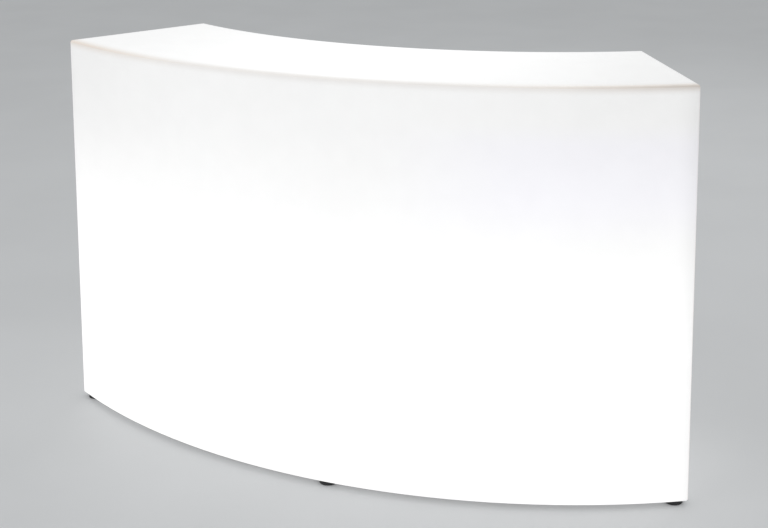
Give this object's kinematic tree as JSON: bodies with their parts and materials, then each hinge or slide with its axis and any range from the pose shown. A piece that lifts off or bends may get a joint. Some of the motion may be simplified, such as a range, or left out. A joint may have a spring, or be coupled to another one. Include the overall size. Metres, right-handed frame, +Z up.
{
  "type": "illuminated counter",
  "caption": "Curved free-standing bar counter with a hollow glowing shell, levelling feet and twist-in battery light units.",
  "frame": {"origin": "on the floor, under the middle of the counter's outline box", "axes": "+Z up, -Y towards the customers (convex front), +Y towards the server (concave back), +X along the counter"},
  "size_m": [1.8426, 0.6974, 1.1],
  "materials": {
    "glowing_shell": "satin translucent polyethylene, lit from inside",
    "collar_plastic": "fine moulded satin",
    "tray_plastic": "fine spark-eroded texture",
    "seal_rubber": "smooth matt rubber",
    "foot_rubber": "matt moulded rubber",
    "foot_steel": "bright zinc plate",
    "insert_brass": "knurled brass",
    "screw_steel": "plain stainless steel",
    "dome_diffuser": "milky polycarbonate",
    "light_board": "white solder mask",
    "led_chip": "phosphor face in a white case",
    "holder_plastic": "moulded satin black",
    "cell_wrap": "shrink film",
    "contact_metal": "nickel-plated strip",
    "control_circuit": "green solder mask",
    "board_component": "moulded components",
    "lead_cover": "soft insulation",
    "fitting_plastic": "polished black moulding",
    "nut_metal": "bright nickel plate",
    "button_plastic": "satin light grey moulding",
    "cap_rubber": "soft matt moulding"
  },
  "bodies": {
    "counter": {"shell": "glowing_shell", "collar_left": "collar_plastic", "collar_right": "collar_plastic", "collar_screws": "screw_steel", "foot_inserts": "insert_brass"},
    "lamp_left": {"tray_left": "tray_plastic", "tray_seal_left": "seal_rubber", "dome_left": "dome_diffuser", "dome_gasket_left": "seal_rubber", "dome_screws_left": "screw_steel", "led_board_left": "light_board", "led_chips_left": "led_chip", "tray_screws_left": "screw_steel", "battery_holder_left": "holder_plastic", "battery_cells_left": "cell_wrap", "battery_contacts_left": "contact_metal", "control_board_left": "control_circuit", "board_parts_left": "board_component", "lamp_leads_left": "lead_cover", "switch_body_left": "fitting_plastic", "switch_nut_left": "nut_metal", "charge_socket_left": "fitting_plastic", "socket_nut_left": "nut_metal", "cap_pin_left": "screw_steel"},
    "button_left": {"power_button_left": "button_plastic"},
    "cap_left": {"socket_cap_left": "cap_rubber"},
    "lamp_right": {"tray_right": "tray_plastic", "tray_seal_right": "seal_rubber", "dome_right": "dome_diffuser", "dome_gasket_right": "seal_rubber", "dome_screws_right": "screw_steel", "led_board_right": "light_board", "led_chips_right": "led_chip", "tray_screws_right": "screw_steel", "battery_holder_right": "holder_plastic", "battery_cells_right": "cell_wrap", "battery_contacts_right": "contact_metal", "control_board_right": "control_circuit", "board_parts_right": "board_component", "lamp_leads_right": "lead_cover", "switch_body_right": "fitting_plastic", "switch_nut_right": "nut_metal", "charge_socket_right": "fitting_plastic", "socket_nut_right": "nut_metal", "cap_pin_right": "screw_steel"},
    "button_right": {"power_button_right": "button_plastic"},
    "cap_right": {"socket_cap_right": "cap_rubber"},
    "foot_front_left": {"foot_pad_front_left": "foot_rubber"},
    "stem_front_left": {"foot_stem_front_left": "foot_steel"},
    "foot_front_middle": {"foot_pad_front_middle": "foot_rubber"},
    "stem_front_middle": {"foot_stem_front_middle": "foot_steel"},
    "foot_front_right": {"foot_pad_front_right": "foot_rubber"},
    "stem_front_right": {"foot_stem_front_right": "foot_steel"},
    "foot_back_left": {"foot_pad_back_left": "foot_rubber"},
    "stem_back_left": {"foot_stem_back_left": "foot_steel"},
    "foot_back_right": {"foot_pad_back_right": "foot_rubber"},
    "stem_back_right": {"foot_stem_back_right": "foot_steel"}
  },
  "joints": [
    {"name": "lamp_left_twist", "type": "hinge", "parent": "counter", "child": "lamp_left", "pos_m": [-0.3956, -0.04061, 0.0364], "axis": [0, 0, -1], "range_deg": [0, 30]},
    {"name": "power_button_left_press", "type": "slide", "parent": "lamp_left", "child": "button_left", "axis": [0, 0, 1], "range_m": [0, 0.002], "stiffness_N_per_m": 400, "springref_m": -0.003},
    {"name": "socket_cap_left_swing", "type": "hinge", "parent": "lamp_left", "child": "cap_left", "pos_m": [-0.4111, -0.10054, 0.0296], "axis": [-0.9681, 0.2504, 0], "range_deg": [0, 110]},
    {"name": "lamp_right_twist", "type": "hinge", "parent": "counter", "child": "lamp_right", "pos_m": [0.3956, -0.04061, 0.0364], "axis": [0, 0, -1], "range_deg": [0, 30]},
    {"name": "power_button_right_press", "type": "slide", "parent": "lamp_right", "child": "button_right", "axis": [0, 0, 1], "range_m": [0, 0.002], "stiffness_N_per_m": 400, "springref_m": -0.003},
    {"name": "socket_cap_right_swing", "type": "hinge", "parent": "lamp_right", "child": "cap_right", "pos_m": [0.4111, -0.10054, 0.0296], "axis": [-0.9681, -0.2504, 0], "range_deg": [0, 110]},
    {"name": "foot_front_left_rise", "type": "slide", "parent": "counter", "child": "foot_front_left", "axis": [0, 0, -1], "range_m": [0, 0.018]},
    {"name": "foot_front_left_turn", "type": "hinge", "parent": "foot_front_left", "child": "stem_front_left", "pos_m": [-0.88352, -0.08836, 0.012], "axis": [0, 0, -1], "range_deg": [0, 4320]},
    {"name": "foot_front_middle_rise", "type": "slide", "parent": "counter", "child": "foot_front_middle", "axis": [0, 0, -1], "range_m": [0, 0.018]},
    {"name": "foot_front_middle_turn", "type": "hinge", "parent": "foot_front_middle", "child": "stem_front_middle", "pos_m": [0, -0.31893, 0.012], "axis": [0, 0, -1], "range_deg": [0, 4320]},
    {"name": "foot_front_right_rise", "type": "slide", "parent": "counter", "child": "foot_front_right", "axis": [0, 0, -1], "range_m": [0, 0.018]},
    {"name": "foot_front_right_turn", "type": "hinge", "parent": "foot_front_right", "child": "stem_front_right", "pos_m": [0.88352, -0.08836, 0.012], "axis": [0, 0, -1], "range_deg": [0, 4320]},
    {"name": "foot_back_left_rise", "type": "slide", "parent": "counter", "child": "foot_back_left", "axis": [0, 0, -1], "range_m": [0, 0.018]},
    {"name": "foot_back_left_turn", "type": "hinge", "parent": "foot_back_left", "child": "stem_back_left", "pos_m": [-0.66245, 0.31046, 0.012], "axis": [0, 0, -1], "range_deg": [0, 4320]},
    {"name": "foot_back_right_rise", "type": "slide", "parent": "counter", "child": "foot_back_right", "axis": [0, 0, -1], "range_m": [0, 0.018]},
    {"name": "foot_back_right_turn", "type": "hinge", "parent": "foot_back_right", "child": "stem_back_right", "pos_m": [0.66245, 0.31046, 0.012], "axis": [0, 0, -1], "range_deg": [0, 4320]}
  ],
  "couplings": [
    {"joint": "foot_front_left_turn", "follows": "foot_front_left_rise", "rad_per_m": 4188.8},
    {"joint": "foot_front_middle_turn", "follows": "foot_front_middle_rise", "rad_per_m": 4188.8},
    {"joint": "foot_front_right_turn", "follows": "foot_front_right_rise", "rad_per_m": 4188.8},
    {"joint": "foot_back_left_turn", "follows": "foot_back_left_rise", "rad_per_m": 4188.8},
    {"joint": "foot_back_right_turn", "follows": "foot_back_right_rise", "rad_per_m": 4188.8}
  ]
}
